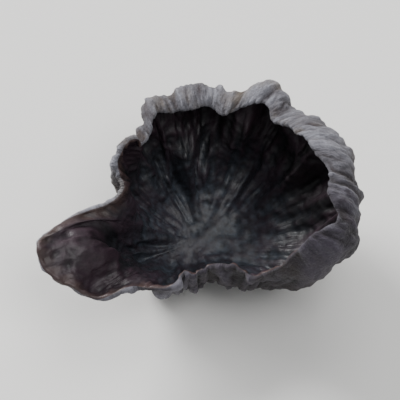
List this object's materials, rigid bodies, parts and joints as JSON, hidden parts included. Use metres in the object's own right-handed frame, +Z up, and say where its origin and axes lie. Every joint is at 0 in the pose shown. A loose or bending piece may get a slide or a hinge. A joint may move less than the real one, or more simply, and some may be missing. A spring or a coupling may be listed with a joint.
{
  "type": "dried wood ear mushroom",
  "caption": "Dried wood ear fungus: a thin crumpled cup with a rolled grey rim, a dark inner face and one open flap, resting on its cut attachment.",
  "frame": {"origin": "on the surface that the ear rests on, under the middle of its bounding box", "axes": "+Z up, +Y towards the tall back wall with the rolled rim, +X to the right seen from the low near wall; the open flap points to -X"},
  "size_m": [0.0266, 0.0196, 0.0155],
  "materials": {
    "dried_skin": "matt felted grey-brown outside, satin brown-black inside"
  },
  "bodies": {
    "root": {"wood_ear": "dried_skin"}
  },
  "joints": []
}
